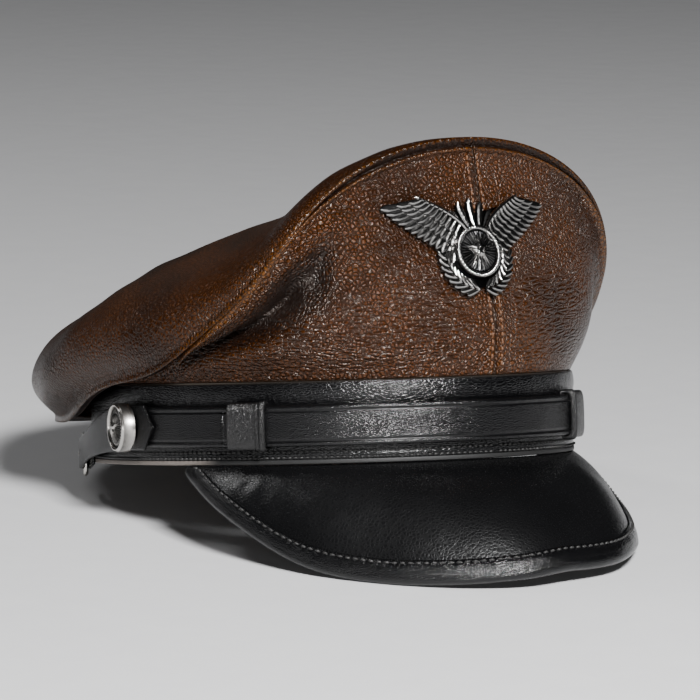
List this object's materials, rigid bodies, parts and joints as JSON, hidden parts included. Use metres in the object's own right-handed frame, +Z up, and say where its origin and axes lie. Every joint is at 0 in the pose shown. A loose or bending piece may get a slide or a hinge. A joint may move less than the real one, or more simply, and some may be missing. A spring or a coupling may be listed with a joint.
{
  "type": "leather military peaked cap",
  "caption": "Soft leather peaked cap with a high front, drooping top panel, stiff band, chin straps in sleeves, side buttons, bound peak and a winged badge.",
  "frame": {"origin": "middle of the cap's box, on the surface that the cap rests on", "axes": "+Z up, -Y towards the peak, +X towards the wearer's left; the cap rests on its peak and on the back of its band"},
  "size_m": [0.2064, 0.279, 0.1529],
  "materials": {
    "brown_leather": "burnished pebble grain, glossy",
    "black_leather": "smooth black, semi-gloss",
    "cut_edge": "pale turned edge",
    "silver_metal": "polished nickel silver",
    "dark_chrome": "dark polished relief"
  },
  "bodies": {
    "root": {"crown_top": "brown_leather", "crown_quarter_right": "brown_leather", "crown_quarter_left": "brown_leather", "band": "black_leather", "band_edge": "cut_edge", "peak": "black_leather", "peak_binding": "black_leather", "chin_strap_under": "black_leather", "chin_strap_over": "black_leather", "keeper_right": "black_leather", "keeper_left": "black_leather", "button_right": "silver_metal", "button_left": "silver_metal", "rear_strap_short": "black_leather", "rear_strap_long": "black_leather", "rear_buckle": "silver_metal", "buckle_prong": "silver_metal", "badge": "dark_chrome"}
  },
  "joints": []
}
